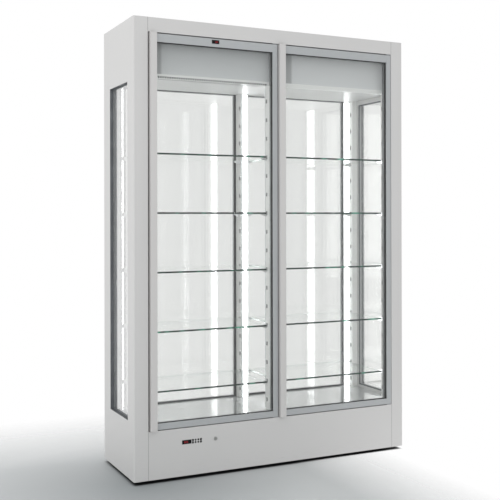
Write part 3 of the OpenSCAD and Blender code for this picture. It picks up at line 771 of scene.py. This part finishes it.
black_window = Finish("display_window")
smears = black_window.noise(0.008, 4)
black_window.principled(
    {
        "Base Color": black_window.mix(smears, (0.006, 0.006, 0.007), (0.014, 0.013, 0.014)),
        "Roughness": 0.2 + 0.1 * smears,
        "Specular IOR Level": 0.2,
    }
)
dress("door_thermometer", black_window, 0.0008)
digit_h = 0.0075
digit_proud = 0.0002
lo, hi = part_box("door_thermometer")
middle = Vector((hi.x - 0.013, lo.y, (lo.z + hi.z) / 2))
digits("thermometer_digits", "04", middle, digit_h, digit_proud, "left_door")

# ---- Controls in the base ----
# The controller shows its dark display, four round rubber keys and four lamps through the front
# panel. The key switch beside it is a nickel-plated cam lock with a slot for the key.
dress("controller", black_window, 0.0006)
lo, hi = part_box("controller")
panel_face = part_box("base_front_panel")[0].y
middle = Vector((lo.x + 0.021, lo.y, (lo.z + hi.z) / 2))
digits("display_digits", "025", middle, digit_h, digit_proud, "case")

key_rubber = rubber("key_rubber", (0.02, 0.02, 0.021), 0.45)
for i in range(1, 5):
    node = f"controller_key_{i}"
    lo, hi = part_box(node)
    flange_r = (hi.x - lo.x) / 2
    key_r = flange_r - 0.001
    depth = hi.y - lo.y
    outline = [(0, depth - 0.0005), (key_r * 0.45, depth - 0.0004), (key_r * 0.7, depth - 0.0001)]
    outline += [(key_r * 0.85, depth), (key_r, depth - 0.0005), (key_r, 0.002), (flange_r, 0.002)]
    outline += [(flange_r, 0), (0, 0)]
    cap = bmesh.new()
    turn_on(cap, outline, ((lo.x + hi.x) / 2, hi.y, (lo.z + hi.z) / 2))
    settle(cap, f"key_{i}_cap", [key_rubber], f"key_{i}", [node])

surround_finish = rubber("surround_plastic", (0.012, 0.012, 0.013), 0.4)
key_boxes = [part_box(f"controller_key_{i}") for i in range(1, 5)]
key_columns = sorted({round((lo.x + hi.x) / 2, 5) for lo, hi in key_boxes})
key_rows = sorted({round((lo.z + hi.z) / 2, 5) for lo, hi in key_boxes})
third = (key_columns[1] - key_columns[0]) / 3
lamp_columns = [key_columns[0] + third, key_columns[0] + 2 * third]
surrounds = bmesh.new()
for columns, inner, outer in ((key_columns, key_r + 0.0001, 0.0052), (lamp_columns, 0.0021, 0.0044)):
    outline = [(inner, 0), (outer, 0), (outer, 0.0002), (outer - 0.0001, 0.0003)]
    outline += [(inner, 0.0003), (inner, 0)]
    for x in columns:
        for z in key_rows:
            turn_on(surrounds, outline, (x, panel_face, z), 32)
settle(surrounds, "key_surrounds", [surround_finish], "case")

lock_nickel = brushed("lock_nickel", (0.50, 0.50, 0.49), (1, 1, 1), 0.2)
dress("key_switch", lock_nickel, 0.0005)

# ---- Room ----
# A pale studio floor fades into the white background. It is painted near black under the case, a
# painted shadow, and darker round the front left corner, painted shade. White light comes from all
# round, with one dimmer side in front on the right, and from a softbox in front on the left.
floor_finish = Finish("studio_floor")
spot = floor_finish.where()
side_on = floor_finish.node("SeparateXYZ", {}, {0: spot}, "X")
depth_in = floor_finish.node("SeparateXYZ", {}, {0: spot}, "Y")
to_the_right = floor_finish.limit((side_on - 0.1) / 0.5)
behind = floor_finish.limit((depth_in - 0.25) / 0.95)
far = floor_finish.node("VectorMath", {"operation": "LENGTH"}, {0: spot}, "Value")
open_floor = (1 - to_the_right) * (1 - behind) * floor_finish.limit((2.8 - far) / 1.2)
shadow_edge_sharpness = 60
# Near black under the case is a painted shadow.
under_case_shadow = floor_finish.limit((0.70 - floor_finish.maths("ABSOLUTE", side_on)) * shadow_edge_sharpness)
under_case_shadow = under_case_shadow * floor_finish.limit((depth_in + 0.215) * shadow_edge_sharpness)
under_case_shadow = under_case_shadow * floor_finish.limit((0.23 - depth_in) * shadow_edge_sharpness)
# Darker round the front left corner is painted shade.
case_corner = {0: spot, 1: (-0.7, -0.25, 0)}
from_corner = floor_finish.node("VectorMath", {"operation": "DISTANCE"}, case_corner, "Value")
shadow = floor_finish.limit(from_corner / 0.75)
floor_tone = floor_finish.mix(shadow, (0.30, 0.325, 0.335), (0.56, 0.58, 0.585))
floor_tone = floor_finish.mix(0.1 * floor_finish.noise(0.8), floor_tone, (0.6, 0.6, 0.6))
floor_finish.principled(
    {
        "Base Color": floor_finish.mix(under_case_shadow, floor_tone, (0.012, 0.012, 0.013)),
        "Roughness": 0.5 + 0.1 * floor_finish.noise(0.2),
        "Specular IOR Level": 0.3,
        "Alpha": floor_finish.maths("MAXIMUM", open_floor, under_case_shadow),
    }
)
floor_mesh = bpy.data.meshes.new("studio_floor")
ground = bmesh.new()
bmesh.ops.create_grid(ground, x_segments=8, y_segments=8, size=9)
ground.to_mesh(floor_mesh)
ground.free()
floor_mesh.materials.append(floor_finish.material)
studio_floor = bpy.data.objects.new("studio_floor", floor_mesh)
bpy.context.scene.collection.objects.link(studio_floor)

scene = bpy.context.scene
studio = Finish("studio", world=True)
toward = studio.node("TexCoord", out="Generated")
aim = {"operation": "DOT_PRODUCT"}
corner = studio.node("VectorMath", aim, {0: toward, 1: (0.47, -0.88, 0.0)}, "Value")
soft_step = {"interpolation_type": "SMOOTHSTEP"}
shade = studio.node("MapRange", soft_step, {"Value": corner, 1: 0.80, 2: 0.95})
light = studio.mix(shade, (1, 1, 1), (0.45, 0.455, 0.46))
background = studio.node("Background", {}, {"Color": light, "Strength": 1.0})
studio.node("OutputWorld", {}, {"Surface": background})
scene.world = studio.material
scene.view_settings.view_transform = "Standard"

softbox = bpy.data.objects.new("softbox", bpy.data.lights.new("softbox", "AREA"))
softbox.data.shape = "RECTANGLE"
softbox.data.size = 3.0
softbox.data.size_y = 2.0
softbox.data.energy = 36
softbox.location = (-3.4, -4.2, 1.4)
beam = Vector((0, 0, 0.8)) - softbox.location
softbox.rotation_euler = beam.to_track_quat("-Z", "Y").to_euler()
scene.collection.objects.link(softbox)

camera = bpy.data.objects.new("camera", bpy.data.cameras.new("camera"))
camera.data.sensor_width = 36
camera.data.lens = 63.22
camera.data.shift_y = -0.0654
camera.location = (-1.8933, -3.8016, 1.1469)
camera.rotation_euler = (math.radians(90.04), math.radians(0.11), math.radians(-25.97))
scene.collection.objects.link(camera)
scene.camera = camera
